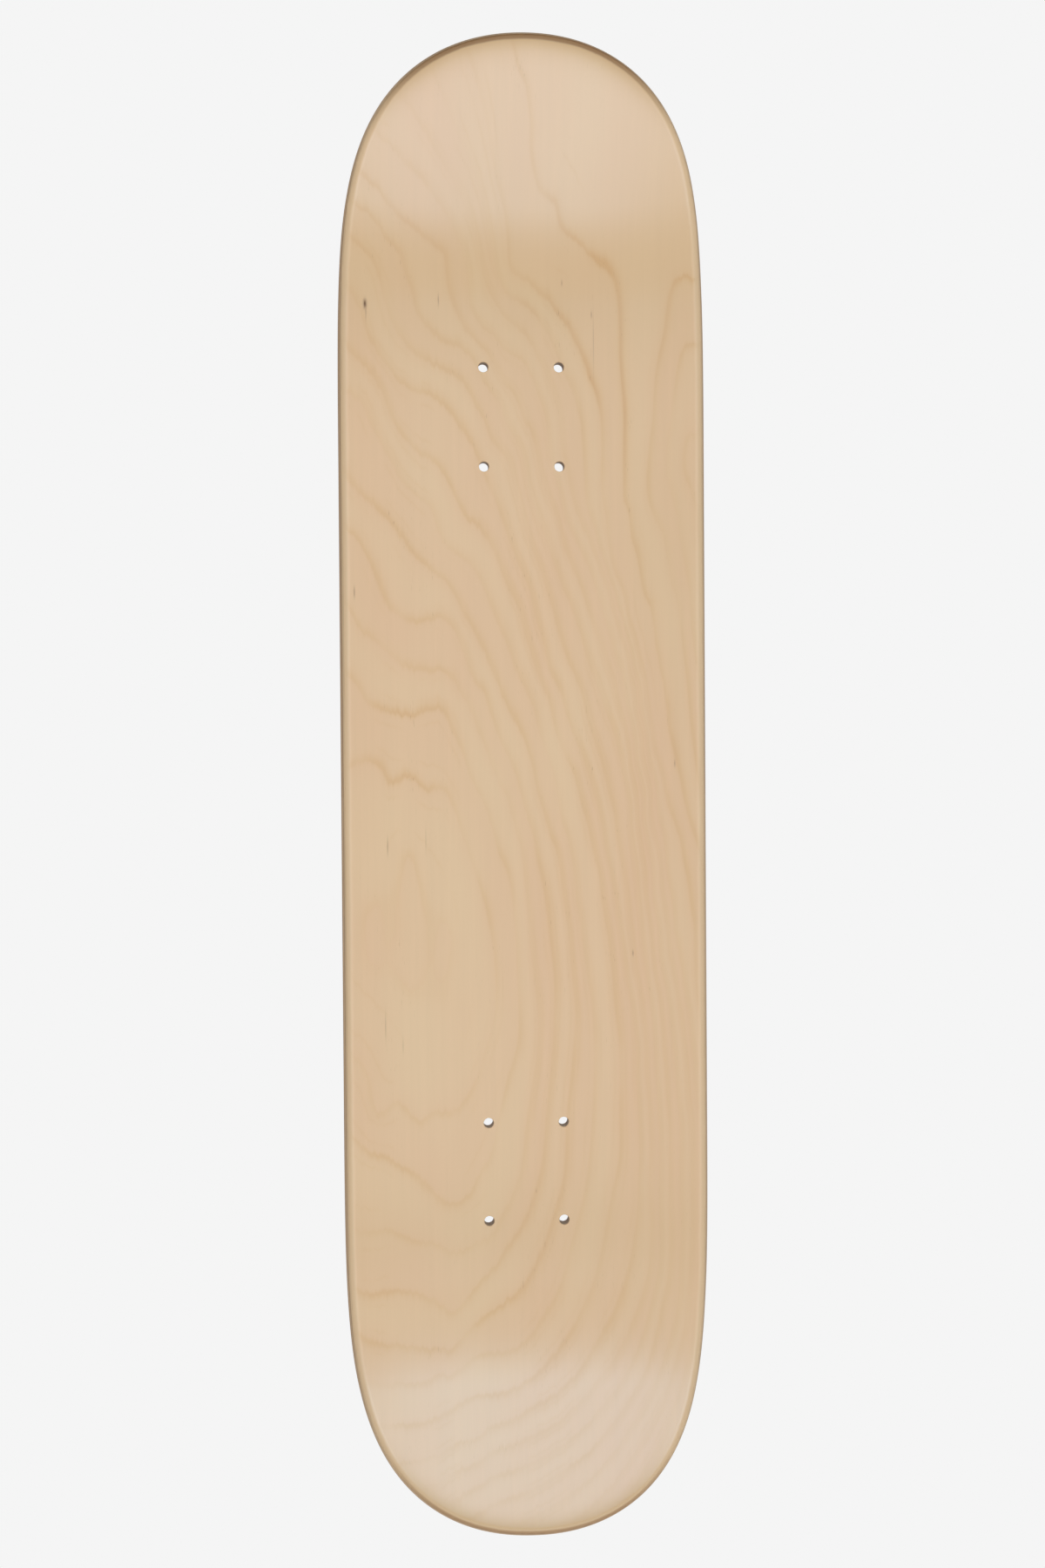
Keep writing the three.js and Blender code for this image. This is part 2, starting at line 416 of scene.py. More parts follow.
def pressed_points(tree, size):
    """Where the press takes each point of the flat blank"""
    across, along, height = position(tree)
    direction = calc("SIGN", along)
    distance = calc("ABSOLUTE", along)
    kick = blend(size["tail_kick"], size["nose_kick"], calc("GREATER_THAN", along, 0.0))
    outer_bolts = size["wheelbase"] / 2.0 + size["bolt_spacing_along"]
    start = outer_bolts + size["kick_setback"]
    radius = size["kick_radius"]
    beyond = calc("MAXIMUM", distance - start, 0.0)
    turned = calc("MINIMUM", beyond / radius, kick)
    straight = calc("MAXIMUM", beyond - radius * kick, 0.0)
    sine, cosine = calc("SINE", turned), calc("COSINE", turned)
    reach = calc("MINIMUM", distance, start) + radius * sine + straight * cosine
    rise = radius * (1.0 - cosine) + straight * sine

    fade = ramp(beyond, 0.0, size["concave_fade"])
    curve = size["concave_radius"] / blend(1.0, size["kick_concave"], fade)
    flat = size["flat_width"] / 2.0
    side = calc("ABSOLUTE", across)
    tilt = calc("MAXIMUM", side - flat, 0.0) / curve
    tilt_sine, tilt_cosine = calc("SINE", tilt), calc("COSINE", tilt)
    x = calc("MINIMUM", side, flat) + (curve - height) * tilt_sine
    lift = curve * (1.0 - tilt_cosine) + height * tilt_cosine
    return join(tree, calc("SIGN", across) * x, direction * (reach - lift * sine), rise + lift * cosine)


def stored(tree, geometry, name, value, kind):
    attribute = {"Geometry": geometry, "Name": name, "Value": value}
    return mesh_term(tree, "GeometryNodeStoreNamedAttribute", 0, attribute, data_type=kind, domain="POINT")


SEAM = 1e-6  # Points closer than this are one point, where the grid closes on itself


def make_press_tree():
    """The Geometry Nodes tree that makes any veneer of the deck"""
    tree = bpy.data.node_groups.new("Pressed Veneer", "GeometryNodeTree")
    scene = bpy.context.scene
    names = take_sizes(tree, scene.deck_sizes, scene.deck_mesh)
    veneer_names = ("Veneer Bottom", "Veneer Top", "Top Crowding", "Bottom Crowding", "Crease Angle")
    for name in veneer_names:
        tree.interface.new_socket(name, in_out="INPUT", socket_type="NodeSocketFloat")
    tree.interface.new_socket("Maple", in_out="INPUT", socket_type="NodeSocketMaterial")
    tree.interface.new_socket("Veneer", in_out="OUTPUT", socket_type="NodeSocketGeometry")
    given = add(tree, "NodeGroupInput").outputs
    size = {key: Term(tree, given[name]) for key, name in names.items()}
    veneer = {name: Term(tree, given[name]) for name in veneer_names}

    columns = 2.0 * (size["face_columns"] + size["edge_rows"]) + 1.0
    unit = {"Size X": 1.0, "Size Y": 1.0, "Vertices X": columns, "Vertices Y": size["stations"] + 1.0}
    grid = mesh_term(tree, "GeometryNodeMeshGrid", "Mesh", unit)
    place, end_grain = blank_points(tree, size, veneer)
    grid = stored(tree, grid, END_GRAIN, end_grain, "FLOAT")
    blank = moved(tree, grid, place)
    blank = mesh_term(tree, "GeometryNodeMergeByDistance", 0, {"Geometry": blank, "Distance": SEAM})
    drilled = add(tree, "GeometryNodeMeshBoolean", {"Mesh 1": blank, "Mesh 2": drills(tree, size)},
                  operation="DIFFERENCE", solver="MANIFOLD").outputs["Mesh"]
    flat_place = mesh_term(tree, "GeometryNodeInputPosition", 0)
    drilled = stored(tree, drilled, PLACE, flat_place, "FLOAT_VECTOR")
    drilled = stored(tree, drilled, RIM_DISTANCE, rim_distance(tree, size), "FLOAT")
    board = moved(tree, drilled, pressed_points(tree, size))

    smooth = mesh_term(tree, "GeometryNodeSetShadeSmooth", 0, {"Geometry": board}, domain="FACE")
    edge_angle = mesh_term(tree, "GeometryNodeInputMeshEdgeAngle", 0)
    crease = calc("GREATER_THAN", edge_angle, veneer["Crease Angle"])
    creased = {"Geometry": smooth, "Selection": crease, "Shade Smooth": False}
    sharp = mesh_term(tree, "GeometryNodeSetShadeSmooth", 0, creased, domain="EDGE")
    solid = mesh_term(tree, "GeometryNodeRealizeInstances", 0, {"Geometry": sharp})
    finished = mesh_term(tree, "GeometryNodeSetMaterial", 0, {"Geometry": solid, "Material": given["Maple"]})
    plug(tree, finished, add(tree, "NodeGroupOutput").inputs[0])
    lay_out(tree)
    return tree


def press_tree():
    return bpy.data.node_groups.get("Pressed Veneer") or make_press_tree()


STACK = [
    # Piece, the CAD node that it stands for, and its slot in the record, from the belly up
    ("bottom_face_ply", "bottom_face_veneer", "face_maple"),
    ("lower_core_ply", "lower_core_veneer", "core_maple"),
    ("lower_crossband_ply", "lower_crossband_veneer", "crossband_maple"),
    ("centre_core_ply", "centre_core_veneer", "core_maple"),
    ("upper_crossband_ply", "upper_crossband_veneer", "crossband_maple"),
    ("upper_core_ply", "upper_core_veneer", "core_maple"),
    ("top_face_ply", "top_face_veneer", "face_maple"),
]
BOND_LINE = 0.0001  # The gap between two veneers, where the glue is
EDGE_CROWDING = 2.0  # The rows of a face veneer's edge crowd towards its face, where the edge is rounded
CREASE_ANGLE = math.radians(35.0)


def press_ply(name, material):
    """Makes one ply with the press tree, as a plain mesh at the origin that stands for its CAD node"""
    number = [entry[0] for entry in STACK].index(name)
    _, node, slot = STACK[number]
    total = bpy.context.scene.deck_sizes.deck_thickness
    pitch = (total + BOND_LINE) / len(STACK)
    mesh_steps = bpy.context.scene.deck_mesh
    lowest, highest = number == 0, number == len(STACK) - 1
    outer = lowest or highest
    values = {
        "Face Columns": mesh_steps.face_columns if outer else mesh_steps.inner_columns,
        "Stations": mesh_steps.stations if outer else mesh_steps.inner_stations,
        "Veneer Bottom": number * pitch,
        "Veneer Top": (number + 1) * pitch - BOND_LINE,
        "Top Crowding": EDGE_CROWDING if highest else 1.0,
        "Bottom Crowding": EDGE_CROWDING if lowest else 1.0,
        "Crease Angle": CREASE_ANGLE,
        "Maple": material,
    }
    piece = bpy.data.objects.new(name, bpy.data.meshes.new(name))
    bpy.context.scene.collection.objects.link(piece)
    modifier = piece.modifiers.new("Pressed Veneer", "NODES")
    modifier.node_group = press_tree()
    for item in modifier.node_group.interface.items_tree:
        if item.in_out == "INPUT" and item.name in values:
            modifier[item.identifier] = values[item.name]
    depsgraph = bpy.context.evaluated_depsgraph_get()
    mesh = bpy.data.meshes.new_from_object(
        piece.evaluated_get(depsgraph), preserve_all_data_layers=True, depsgraph=depsgraph
    )
    piece.modifiers.remove(modifier)
    piece.data = mesh
    mesh.name = name
    if not mesh.polygons:
        raise RuntimeError(f"{name} came out empty")
    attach(piece, BODY)
    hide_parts(node)
    return piece


def aimed(place, target, up):
    """A turn that points an object's -Z at a target"""
    back = (Vector(place) - Vector(target)).normalized()
    right = Vector(up).cross(back).normalized()
    turn = Matrix((right, back.cross(right), back)).transposed()
    return Matrix.Translation(place) @ turn.to_4x4()


def leaning(lean):
    return math.sin(lean), math.cos(lean), 0.0


# The figure of the face veneers

# The growth lines of the top face, drawn over the picture: the number of the year, how dark its line is, and
# points of it in millimetres from the middle of the board
GROWTH_LINES = [
    (0, 0.6,
     "-94,15 -85,19 -78,15 -72,5 -64,10 -53,2 -41,0 -36,-13 -31,-29 -27,-41 -21,-59 -18,-73 -16,-85 "
     "-15,-100 -15,-116 -17,-129 -21,-143 -26,-157 -31,-167 -39,-174 -49,-174 -57,-180 -63,-174 "
     "-67,-169 -73,-171 -80,-175 -84,-157 -94,-142"),
    (1, 0.65,
     "-91,60 -85,50 -78,46 -69,44 -60,42 -53,46 -44,46 -39,36 -34,25 -29,10 -21,-6 -16,-22 -13,-32 "
     "-8,-45 -6,-55 -4,-78 -3,-100 -2,-120 -3,-137 -7,-151 -11,-167 -14,-182 -17,-196 -24,-208 "
     "-30,-220 -37,-224 -43,-223 -51,-216 -59,-208 -67,-204 -76,-198 -90,-190"),
    (2, 0.45,
     "-88,89 -78,82 -71,75 -62,69 -50,67 -43,67 -36,59 -30,50 -25,36 -20,24 -13,6 -9,-1 -6,-11 -1,-30 "
     "2,-57 4,-80 7,-105 9,-125 8,-145 5,-165 2,-184 -1,-206 -8,-225 -18,-243 -26,-246 -37,-251 "
     "-47,-247 -61,-244 -76,-239 -90,-240"),
    (3, 0.7,
     "-92,141 -85,129 -79,115 -74,103 -65,96 -55,94 -44,96 -37,89 -32,76 -27,62 -21,55 -18,45 -13,31 "
     "-8,20 -4,10 1,-8 5,-20 8,-36 13,-60 15,-82 17,-96 17,-125 15,-155 13,-178 11,-200 6,-220 0,-235 "
     "-8,-247 -16,-259 -26,-270 -35,-282 -45,-280 -55,-274 -69,-272 -84,-273 -94,-271"),
    (4, 0.75,
     "-94,170 -87,163 -78,154 -71,147 -64,136 -53,125 -43,117 -37,108 -32,97 -27,89 -20,76 -16,66 "
     "-11,53 -6,43 1,29 5,17 8,1 12,-11 15,-22 19,-31 22,-52 25,-71 27,-96 29,-120 28,-139 26,-159 "
     "24,-178 22,-212 18,-227 13,-243 6,-259 -1,-271 -10,-278 -20,-285 -30,-294 -39,-304 -51,-304 "
     "-65,-302 -80,-301 -93,-294"),
    (5, 0.4,
     "-88,214 -83,202 -78,193 -72,182 -64,168 -51,158 -43,137 -30,127 -23,117 -18,104 -13,92 -8,80 "
     "-4,69 1,59 7,45 10,31 15,17 19,1 21,-13 26,-32 29,-57 32,-78 35,-99 38,-120 39,-149 38,-178 "
     "36,-204 33,-222 29,-237 25,-253 20,-271 13,-283 5,-295 -8,-305 -29,-310 -45,-318 -65,-322 "
     "-85,-322"),
    (6, 0.7,
     "-94,242 -83,230 -76,217 -72,205 -65,195 -57,186 -46,179 -41,170 -36,160 -30,150 -20,141 -13,127 "
     "-8,113 -2,101 1,89 5,76 10,62 14,52 17,38 22,24 28,11 31,-1 35,-13 38,-27 42,-43 44,-60 47,-78 "
     "49,-96 51,-120 53,-139 53,-178 53,-196 50,-214 47,-229 44,-247 39,-267 33,-282 25,-296 17,-307 "
     "6,-319 -12,-328 -30,-331 -46,-341 -62,-345"),
    (7, 0.7,
     "-94,274 -88,261 -85,251 -78,239 -70,228 -62,222 -51,218 -43,212 -37,205 -32,197 -27,189 -21,174 "
     "-16,163 -11,150 -6,134 0,120 5,104 8,92 12,80 15,67 21,55 24,43 29,29 35,15 40,-3 43,-17 46,-35 "
     "50,-55 53,-75 56,-95 60,-118 62,-139 63,-169 64,-198 63,-222 61,-241 57,-263 53,-276 45,-292 "
     "37,-306 29,-318 17,-329 5,-336 -7,-343 -25,-353 -45,-361"),
    (8, 0.6,
     "-90,300 -82,291 -78,279 -74,265 -69,253 -62,244 -53,237 -43,232 -34,226 -29,218 -23,207 -18,195 "
     "-9,184 -6,174 -2,158 0,150 5,134 10,122 15,106 19,92 22,80 28,66 33,52 36,38 42,20 47,1 51,-20 "
     "55,-45 58,-70 61,-95 65,-120 67,-149 69,-178 69,-208 70,-237 69,-261 65,-276 59,-292 51,-308 "
     "41,-322 31,-333 18,-345 2,-353 -16,-359 -40,-372"),
    (9, 0.6,
     "-83,316 -76,305 -68,297 -65,286 -61,275 -58,263 -51,254 -43,247 -34,244 -28,238 -22,226 -13,214 "
     "-8,200 -2,190 1,177 4,163 8,150 15,131 22,113 28,99 33,83 36,71 43,52 49,36 54,17 58,-5 61,-35 "
     "64,-65 67,-95 72,-135 74,-169 75,-202 75,-237 74,-263 70,-280 65,-298 57,-316 47,-331 33,-347 "
     "18,-359 -2,-369 -22,-377"),
    (10, 0.75,
     "-86,336 -74,323 -66,314 -57,307 -48,300 -43,295 -42,286 -40,274 -36,263 -29,251 -20,242 -11,225 "
     "-3,214 1,203 6,193 8,181 12,167 19,150 24,132 31,115 36,99 43,80 49,62 54,41 58,20 62,-5 66,-40 "
     "70,-80 74,-110 77,-139 79,-169 80,-198 80,-227 80,-257 76,-280 72,-300 65,-320 53,-339 41,-355 "
     "25,-369 6,-380"),
    (11, 0.5,
     "-70,352 -55,336 -45,322 -37,307 -32,295 -30,284 -29,267 -21,254 -13,246 0,237 6,226 10,214 "
     "13,203 14,190 18,172 23,152 33,131 40,111 45,94 50,76 56,50 61,20 66,-15 71,-55 75,-90 81,-129 "
     "84,-159 86,-198 87,-237 86,-267 84,-286 78,-308 69,-329 57,-349"),
    (12, 0.5,
     "-60,372 -47,350 -35,330 -27,309 -24,295 -21,281 -16,270 -8,260 1,251 8,239 13,228 17,217 20,203 "
     "21,189 25,172 30,154 36,140 42,124 47,110 52,92 57,75 61,55 65,30 70,0 75,-40 79,-75 83,-105 "
     "87,-129 89,-149 92,-178 92,-218 91,-261 90,-282 85,-306"),
    (13, 0.55,
     "-43,380 -33,355 -24,332 -18,302 -16,291 -11,277 0,268 8,261 12,254 17,244 21,233 26,223 29,214 "
     "32,202 33,189 34,174 36,154 41,138 46,122 51,105 56,88 60,70 64,48 68,25 73,-5 78,-40 83,-75 "
     "88,-105 92,-135 95,-168"),
    (14, 0.75,
     "-24,385 -19,362 -15,338 -10,318 -8,300 -8,291 -4,284 8,275 17,265 24,256 30,244 34,235 36,228 "
     "40,219 42,210 43,193 43,174 44,160 46,150 47,136 50,121 55,108 57,96 61,83 64,69 67,53 69,41 "
     "71,27 75,13 78,-1 82,-13 86,-24 90,-45 94,-75"),
    (15, 0.95,
     "-3,397 1,389 3,377 4,365 4,351 6,339 9,330 17,323 21,309 29,302 38,293 45,288 50,281 52,270 "
     "53,251 53,237 54,223 55,207 55,189 55,172 55,163 58,154 62,132 64,120 70,104 72,90 74,75 77,60 "
     "79,46 82,27 86,8 91,-15"),
    (16, 0.95,
     "94,281 89,283 82,279 79,267 77,251 74,237 72,219 71,202 69,186 68,170 69,160 73,150 78,136 "
     "81,118 85,103 87,85 89,67 91,45 94,20"),
    (17, 0.6,
     "94,246 91,246 87,242 85,235 83,223 81,207 79,189 79,172 83,158 86,140 89,124 91,111 92,94 94,75"),
    (18, 0.5,
     "94,196 90,196 88,189 88,175 93,162 96,140"),
    (15.5, 0.0,
     "50,330 65,300 68,270 64,230 62,200"),
    (15.35, 0.0,
     "20,370 35,345 55,350 75,335"),
    (15.6, 0.0,
     "90,320 92,305"),
    (-0.5, 0.0,
     "-82,-25 -84,-125 -30,-75 -27,-140 -60,-155 -75,-10"),
    (-1, 0.45,
     "-63,-33 -58,-45 -55,-60 -53,-76 -52,-92 -57,-104 -63,-108 -69,-100 -70,-80 -69,-60 -66,-42"),
    (-1, 0.4,
     "-42,-70 -39,-78 -40,-92 -44,-103 -48,-96 -48,-82 -46,-73"),
    (-1, 0.35,
     "-80,-60 -86,-66 -87,-80 -84,-95 -77,-95 -76,-80 -77,-66"),
]

DRAWING_MIDDLE = (1.0, -11.0)
DRAWING_SCALE = 2.0995  # Picture points to a millimetre of the drawing
GROWTH_STRETCH = 0.45  # The figure is drawn out along the grain, so lengths along it count this much
GROWTH_UNIT = 100.0  # Millimetres to the unit in which the surface is worked out
GROWTH_SLACK = 1e-4  # Lets the surface miss a drawn point by a little
SMALLEST_SQUARE = 1e-12  # Keeps the logarithm away from nothing
LEAST_GROWTH = 0.01  # Years to a millimetre, where the surface is almost flat
PLACES_AT_A_TIME = 8192
USUAL_DARKNESS = 0.5  # Of a line that falls between the drawn ones


def drawn_place(points):
    """Where points of the board lie in the drawing of the growth lines, in millimetres from its middle"""
    turn = np.array(aimed(PHOTO_PLACE, PHOTO_AIM, leaning(math.radians(PHOTO_LEAN))).inverted())
    local = points @ turn[:3, :3].T + turn[:3, 3]
    drawn = PHOTO_ZOOM * local[:, :2] / -local[:, 2:]
    return (drawn - DRAWING_MIDDLE) / DRAWING_SCALE


def bend(squared):
    """The bend of a thin springy plate around one point, by the square of the distance from it"""
    return 0.5 * squared * np.log(squared + SMALLEST_SQUARE)


class GrowthSurface:
    """A smooth surface through the drawn growth lines, whose height is the year when the wood grew"""

    def __init__(self, lines):
        places, years = [], []
        for year, _, text in lines:
            for pair in text.split():
                places.append([float(number) for number in pair.split(",")])
                years.append(year)
        self.stretch = np.array([1.0, GROWTH_STRETCH]) / GROWTH_UNIT
        self.knots = np.array(places) * self.stretch
        total = len(years)
        apart = self.knots[:, None] - self.knots[None]
        plate = bend((apart ** 2).sum(axis=-1))
        plate[np.diag_indices(total)] = GROWTH_SLACK
        flat = np.hstack([np.ones((total, 1)), self.knots])
        system = np.block([[plate, flat], [flat.T, np.zeros((3, 3))]])
        self.weights = np.linalg.solve(system, np.array(years + [0.0, 0.0, 0.0]))

    def at(self, places, turn):
        """The year, the millimetres between years and the years per millimetre along the board, at places in
        the drawing, where turn says how the board's millimetres are turned and stretched to the drawing's"""
        years, spacings, slopes = [], [], []
        springs, level, slope = self.weights[:-3], self.weights[-3], self.weights[-2:]
        for start in range(0, len(places), PLACES_AT_A_TIME):
            near = places[start:start + PLACES_AT_A_TIME] * self.stretch
            apart = near[:, None] - self.knots[None]
            squared = (apart ** 2).sum(axis=-1)
            years.append(bend(squared) @ springs + level + near @ slope)
            pull = (np.log(squared + SMALLEST_SQUARE) + 1.0) * springs
            rise = ((pull[..., None] * apart).sum(axis=1) + slope) * self.stretch * turn
            spacings.append(1.0 / np.maximum(np.hypot(rise[:, 0], rise[:, 1]), LEAST_GROWTH))
            slopes.append(rise[:, 1])
        return np.concatenate(years), np.concatenate(spacings), np.concatenate(slopes)


# The underside is another sheet of the same log: part of the same growth, turned and stretched
UNDERSIDE_TURN = np.array([-0.62, -0.80])
UNDERSIDE_SHIFT = np.array([22.0, 30.0])

# Where the growth lines are darker, or paler: places across and along the drawing, half width, half
# length and how much
DARKER_PLACES = [
    (44.0, 290.0, 8.0, 6.0, 1.5),
    (30.0, 302.0, 12.0, 8.0, 0.5),
    (8.0, 264.0, 16.0, 12.0, 0.9),
    (27.0, 266.0, 12.0, 9.0, 0.7),
    (38.0, 231.0, 6.0, 13.0, 1.0),
    (54.0, 205.0, 5.0, 28.0, 0.5),
    (56.0, 165.0, 5.0, 11.0, 1.2),
    (70.0, 200.0, 6.0, 24.0, 0.6),
    (68.0, 167.0, 5.0, 11.0, 1.3),
    (88.0, 282.0, 9.0, 6.0, 1.0),
    (-70.0, 46.0, 15.0, 8.0, 0.6),
    (-66.0, 10.0, 26.0, 10.0, 0.4),
    (45.0, 240.0, 45.0, 75.0, 0.45),
    (30.0, -60.0, 45.0, 200.0, 0.20),
    (0.0, 375.0, 140.0, 45.0, -0.55),
    (0.0, -380.0, 140.0, 45.0, -0.35),
]

# Where the wood between the lines is a little browner, given in the same way
STAINED_PLACES = [
    (10.0, 262.0, 70.0, 36.0, 0.07),
    (18.0, 266.0, 24.0, 12.0, 0.10),
    (60.0, 150.0, 45.0, 75.0, 0.09),
    (88.0, 140.0, 22.0, 60.0, 0.07),
    (10.0, 215.0, 45.0, 50.0, 0.06),
    (20.0, -235.0, 50.0, 50.0, 0.06),
]


def spotted(places, spots):
    """A soft spot of the given strength round each place in a list, added together"""
    total = np.zeros(len(places))
    for across, along, half_width, half_length, strength in spots:
        away = (places - (across, along)) / (half_width, half_length)
        total += strength * np.exp(-(away ** 2).sum(axis=1))
    return total


def store_on_points(mesh, name, values):
    mesh.attributes.new(name, "FLOAT", "POINT").data.foreach_set("value", values.astype(np.float32))


def draw_growth(piece, places, turn):
    """Gives each point of a face veneer its year, the width and slope of that year, how dark its line is and
    how stained the wood is"""
    years, spacings, slopes = GrowthSurface(GROWTH_LINES).at(places, turn)
    nearest = np.round(years)
    darkness = np.full(len(years), USUAL_DARKNESS)
    for year, strength, _ in GROWTH_LINES:
        darkness[nearest == year] = strength
    darkness *= 1.0 + spotted(places, DARKER_PLACES)
    store_on_points(piece.data, YEAR, years)
    store_on_points(piece.data, YEAR_WIDTH, spacings)
    store_on_points(piece.data, YEAR_SLOPE, slopes)
    store_on_points(piece.data, LINE_DARKNESS, darkness)
    store_on_points(piece.data, STAIN, spotted(places, STAINED_PLACES))


def points_of(piece):
    flat = np.empty(len(piece.data.vertices) * 3, np.float32)
    piece.data.vertices.foreach_get("co", flat)
    return flat.reshape(-1, 3).astype(float)


# Materials


def new_material(name):
    material = bpy.data.materials.new(name)
    material.use_nodes = True
    material.node_tree.nodes.clear()
    return material


def attribute(tree, name, output="Fac"):
    return Term(tree, add(tree, "ShaderNodeAttribute", attribute_name=name).outputs[output])


# The unevenness of the wood: patches to a metre across, along and through it, their detail and roughness
UNEVENNESS = {
    "broad streaks": (300.0, 7.0, 300.0, 3.0, 0.6),
    "fine streaks": (1900.0, 45.0, 1900.0, 2.0, 0.6),
    "clouds": (22.0, 7.0, 22.0, 2.0, 0.5),
    "ticks": (2300.0, 190.0, 2300.0, 1.0, 0.5),
    "tick patches": (60.0, 12.0, 60.0, 2.0, 0.5),
    "wander": (45.0, 20.0, 45.0, 3.0, 0.55),
    "feather": (480.0, 17.0, 480.0, 3.0, 0.6),
    "line width": (26.0, 9.0, 26.0, 3.0, 0.6),
    "line patches": (34.0, 13.0, 34.0, 2.0, 0.5),
    "minor patches": (50.0, 8.0, 50.0, 2.0, 0.5),
    "sanded rail": (90.0, 25.0, 90.0, 3.0, 0.6),
    "sanded rim": (60.0, 60.0, 0.0, 3.0, 0.6),
    "fleck edge": (900.0, 300.0, 0.0, 1.0, 0.5),
}


def noise(place, kind):
    """One kind of unevenness, which lies round a half"""
    x_scale, y_scale, z_scale, detail, roughness = UNEVENNESS[kind]
    x, y, z = split(place)
    scaled = join(place.tree, x * x_scale, y * y_scale, z * z_scale)
    settings = {"Vector": scaled, "Scale": 1.0, "Detail": detail, "Roughness": roughness}
    return Term(place.tree, add(place.tree, "ShaderNodeTexNoise", settings).outputs["Fac"])


def layered(wood, layers):
    """Lays colours over a wood's colour one after another, each by the share that its mask shows"""
    for share, tint in layers:
        node = add(share.tree, "ShaderNodeMix", data_type="RGBA")
        for value, socket in zip((share, wood, tint), (node.inputs[0], node.inputs[6], node.inputs[7])):
            plug(share.tree, value, socket)
        wood = Term(share.tree, node.outputs[2])
    return wood


def make_group(name, inputs, outputs, build):
    """A shader node group with named inputs and outputs, made once: an input without a default is a place"""
    tree = bpy.data.node_groups.get(name)
    if tree:
        return tree
    tree = bpy.data.node_groups.new(name, "ShaderNodeTree")
    for socket, default in inputs.items():
        if default is None:
            tree.interface.new_socket(socket, in_out="INPUT", socket_type="NodeSocketVector")
        else:
            made = tree.interface.new_socket(socket, in_out="INPUT", socket_type="NodeSocketFloat")
            made.default_value = default
    for socket in outputs:
        tree.interface.new_socket(socket, in_out="OUTPUT", socket_type="NodeSocketFloat")
    given = add(tree, "NodeGroupInput").outputs
    results = build({socket: Term(tree, given[socket]) for socket in inputs})
    end = add(tree, "NodeGroupOutput")
    for socket, result in zip(outputs, results):
        plug(tree, result, end.inputs[socket])
    lay_out(tree)
    return tree


def use_group(tree, group, **values):
    node = add(tree, "ShaderNodeGroup", node_tree=group)
    for name, value in values.items():
        plug(tree, value, node.inputs[name.replace("_", " ").title()])
    return {socket.name: Term(tree, socket) for socket in node.outputs}


# Where a soft step on a kind of unevenness begins and ends
TICK_STEP = (0.68, 0.80)
TICK_PATCHES = (0.50, 0.66)
MINOR_PATCHES = (0.48, 0.66)

# The same, with the values at both ends of the step: how wide a growth line is, how dark it is in patches,
# and how dark it is by the millimetres between years
LINE_WIDTHS = (0.35, 0.65, 0.8, 1.6)
LINE_PATCHES = (0.32, 0.62, 0.25, 1.0)
LINE_CROWDING = (4.0, 14.0, 0.55, 1.15)

# The tone of the years: how much it swings from year to year, and how much it climbs within each
BAND_SWING = 0.3
BAND_CLIMB = 0.4

# How wide and how dark a line is where it runs along the grain and where it crosses it
CROSSING_WIDTHS = (0.85, 1.35)
CROSSING_DARKNESS = (0.70, 1.0)


def maple_fibre():
    """Fine streaks, cloudy tone and short dark ticks along the grain, which runs along Y"""
    def build(given):
        place = given["Grain Place"]
        broad = noise(place, "broad streaks")
        fine = noise(place, "fine streaks")
        cloud = noise(place, "clouds")
        ticks = ramp(noise(place, "ticks"), *TICK_STEP) * ramp(noise(place, "tick patches"), *TICK_PATCHES)
        return broad, fine, cloud, ticks
    return make_group("Maple Fibre", {"Grain Place": None}, ["Broad", "Fine", "Cloud", "Ticks"], build)


def growth_rings():
    """The golden line at the end of each year, the haze beside it, a faint line halfway through the year,
    and the tone of the year"""
    def build(given):
        place, year_width, slope = given["Place"], given["Year Width"], given["Year Slope"]
        year = given["Year"] + (noise(place, "wander") - 0.5) * given["Wander"] / year_width
        year = year + (noise(place, "feather") - 0.5) * given["Feather"] * slope
        crossing = clamp(calc("ABSOLUTE", slope) * year_width)
        away = (calc("FRACT", year + 0.5) - 0.5) * year_width
        spread = ramp(noise(place, "line width"), *LINE_WIDTHS) * blend(*CROSSING_WIDTHS, crossing)
        width = blend(given["Sharp Side"], given["Soft Side"], calc("GREATER_THAN", away, 0.0)) * spread
        line = fall_off((calc("ABSOLUTE", away) / width) ** given["Line Power"])
        haze = fall_off(calc("ABSOLUTE", away - given["Haze Shift"]) / given["Haze Width"])
        patchy = ramp(noise(place, "line patches"), *LINE_PATCHES)
        crowded = ramp(year_width, *LINE_CROWDING)
        dark = given["Darkness"] * patchy * crowded * blend(*CROSSING_DARKNESS, crossing)
        halfway = (calc("FRACT", year * 2.0) - 0.5) * year_width / 2.0
        minor = fall_off(calc("ABSOLUTE", halfway) / given["Minor Width"])
        minor = minor * ramp(noise(place, "minor patches"), *MINOR_PATCHES)
        swing, climb = calc("SINE", year * math.pi), calc("FRACT", year) - 0.5
        band = 0.5 + swing * BAND_SWING + climb * BAND_CLIMB
        return line * dark, haze * dark, minor, band
    inputs = {
        "Place": None, "Year": 0.0, "Year Width": 10.0, "Year Slope": 0.0, "Darkness": USUAL_DARKNESS,
        "Sharp Side": 0.65, "Soft Side": 1.5, "Line Power": 1.5, "Haze Shift": 1.0, "Haze Width": 2.4,
        "Minor Width": 0.8, "Wander": 1.4, "Feather": 6.5,
    }
    return make_group("Growth Rings", inputs, ["Line", "Haze", "Minor", "Band"], build)


# How far the rail has turned from the face, as a share of a quarter turn, where the sanded wall, its side
# and its cut fibres begin to show and show in full
WALL_TURN = (0.03, 0.38)
# The side of the rail is where the face veneers get painted light, in the pale rubbed colour
PAINTED_LIGHT_SIDE_TURN = (0.68, 1.0)
CUT_TURN = (0.0, 0.24)
CUT_FIBRES = (0.35, 0.95)  # How much the fibres are cut across where end grain begins to show and is full


